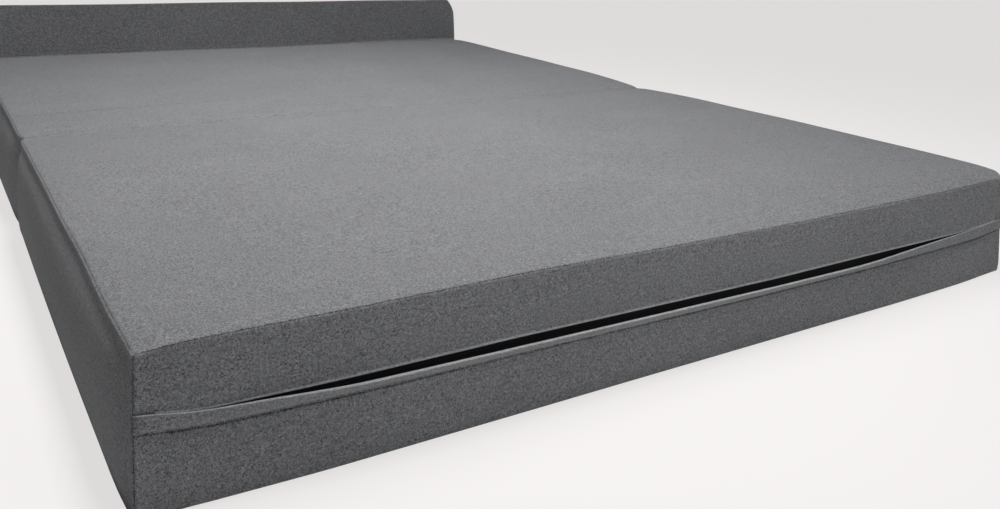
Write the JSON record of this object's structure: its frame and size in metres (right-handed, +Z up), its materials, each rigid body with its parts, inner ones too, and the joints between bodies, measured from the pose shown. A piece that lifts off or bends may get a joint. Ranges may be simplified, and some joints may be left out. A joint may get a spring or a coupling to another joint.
{
  "type": "folding foam chair bed",
  "caption": "Folding foam chair bed in zipped grey cloth covers: foot section folds onto the seat, wedge bolster swings up as a backrest.",
  "frame": {"origin": "centre of the opened-out bed's box, on the floor under it", "axes": "+X across the bed, +Y from the foot end to the head end, +Z up"},
  "size_m": [1.2186, 2.1362, 0.2707],
  "materials": {
    "cover_cloth": "dark grey woven polyester, matt, fine even weave",
    "folded_edge": "the same grey cloth, doubled and pressed flat along its folded edge",
    "foam": "cream open-cell polyurethane foam",
    "zip_tape": "black woven polyester tape",
    "zip_coil": "black nylon coil",
    "zip_metal": "black lacquered zinc, slightly worn"
  },
  "bodies": {
    "seat_section": {"seat_cover": "cover_cloth", "seat_foam": "foam", "seat_zip_upper_lip": "folded_edge", "seat_zip_placket": "cover_cloth", "seat_zip_coil_upper": "zip_coil", "seat_zip_tape_upper": "zip_tape", "seat_zip_coil_lower": "zip_coil", "seat_zip_tape_lower": "zip_tape", "seat_zip_stop_open": "zip_metal", "seat_zip_stop_closed": "zip_metal", "fold_hinge_strip": "folded_edge"},
    "foot_section": {"foot_cover": "cover_cloth", "foot_foam": "foam", "foot_zip_upper_lip": "folded_edge", "foot_zip_placket": "cover_cloth", "foot_zip_coil_upper": "zip_coil", "foot_zip_tape_upper": "zip_tape", "foot_zip_coil_lower": "zip_coil", "foot_zip_tape_lower": "zip_tape", "foot_zip_stop_open": "zip_metal", "foot_zip_stop_closed": "zip_metal"},
    "foot_slider": {"foot_zip_slider": "zip_metal"},
    "foot_pull": {"foot_zip_pull": "zip_metal"},
    "seat_slider": {"seat_zip_slider": "zip_metal"},
    "flap": {"back_flap": "folded_edge"},
    "back_rest": {"back_cover": "cover_cloth", "back_foam": "foam", "back_zip_upper_lip": "folded_edge", "back_zip_placket": "cover_cloth", "back_zip_coil_upper": "zip_coil", "back_zip_tape_upper": "zip_tape", "back_zip_coil_lower": "zip_coil", "back_zip_tape_lower": "zip_tape", "back_zip_stop_open": "zip_metal", "back_zip_stop_closed": "zip_metal"},
    "back_slider": {"back_zip_slider": "zip_metal"},
    "back_pull": {"back_zip_pull": "zip_metal"}
  },
  "joints": [
    {"name": "foot_fold", "type": "hinge", "parent": "seat_section", "child": "foot_section", "pos_m": [0, -0.1671, 0.1534], "axis": [-1, 0, 0], "range_deg": [0, 180], "deforming": ["fold_hinge_strip"]},
    {"name": "flap_swing", "type": "hinge", "parent": "seat_section", "child": "flap", "pos_m": [0, 0.762, 0.15405], "axis": [1, 0, 0], "range_deg": [0, 180]},
    {"name": "back_turn", "type": "hinge", "parent": "flap", "child": "back_rest", "pos_m": [0, 0.762, 0.002], "axis": [1, 0, 0], "range_deg": [-90, 0]},
    {"name": "foot_zip_travel", "type": "slide", "parent": "foot_section", "child": "foot_slider", "axis": [-1, 0, 0], "range_m": [0, 1.133]},
    {"name": "seat_zip_travel", "type": "slide", "parent": "seat_section", "child": "seat_slider", "axis": [-1, 0, 0], "range_m": [0, 1.133]},
    {"name": "back_zip_travel", "type": "slide", "parent": "back_rest", "child": "back_slider", "axis": [-1, 0, 0], "range_m": [0, 1.133]},
    {"name": "foot_pull_swing", "type": "hinge", "parent": "foot_slider", "child": "foot_pull", "pos_m": [0.574, -1.0635, 0.076], "axis": [0, 0, 1], "range_deg": [0, 150], "deforming": ["foot_zip_upper_lip", "foot_zip_placket"]},
    {"name": "back_pull_swing", "type": "hinge", "parent": "back_slider", "child": "back_pull", "pos_m": [0.574, 1.0635, 0.076], "axis": [0, 0, -1], "range_deg": [0, 150], "deforming": ["back_zip_upper_lip", "back_zip_placket"]}
  ],
  "couplings": [
    {"joint": "back_turn", "follows": "flap_swing", "ratio": -0.5}
  ]
}
